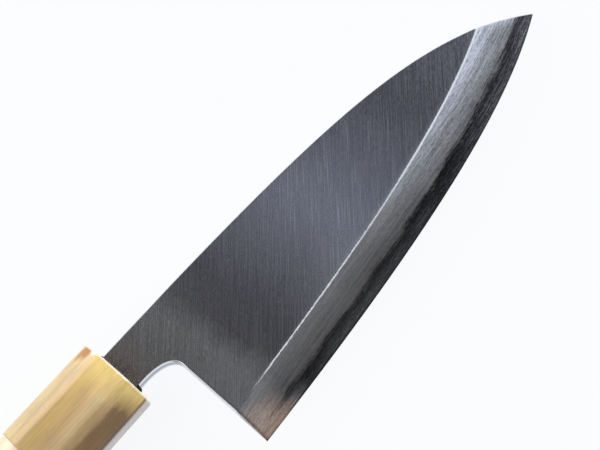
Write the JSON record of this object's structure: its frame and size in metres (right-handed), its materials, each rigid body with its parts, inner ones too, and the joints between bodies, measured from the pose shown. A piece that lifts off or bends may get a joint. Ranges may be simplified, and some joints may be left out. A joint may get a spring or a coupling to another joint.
{
  "type": "deba knife",
  "caption": "Heavy single-bevel Japanese butchery knife: laminated blade with a hollow back, finger notch and tang, horn ferrule, octagonal wooden handle.",
  "frame": {"origin": "on the ground under the middle of the knife's box, with the knife lying on its hollow-back side", "axes": "+X along the handle from the butt to the tip, +Y to the spine, +Z out of the bevelled face"},
  "size_m": [0.3144, 0.0592, 0.0246],
  "materials": {
    "cladding_iron": "fine slanting brush marks on the flat, coarser ones along the bevel",
    "edge_steel": "darker polished band along the edge with fine lengthwise scratches",
    "horn": "polished pale horn with tan streaks and a brown marbled side",
    "handle_wood": "fine-grained pale wood, sanded and left bare",
    "bedding_resin": "dark set resin"
  },
  "bodies": {
    "root": {"blade_cladding": "cladding_iron", "edge_steel": "edge_steel", "horn_ferrule": "horn", "wood_handle": "handle_wood", "tang_bedding": "bedding_resin"}
  },
  "joints": []
}
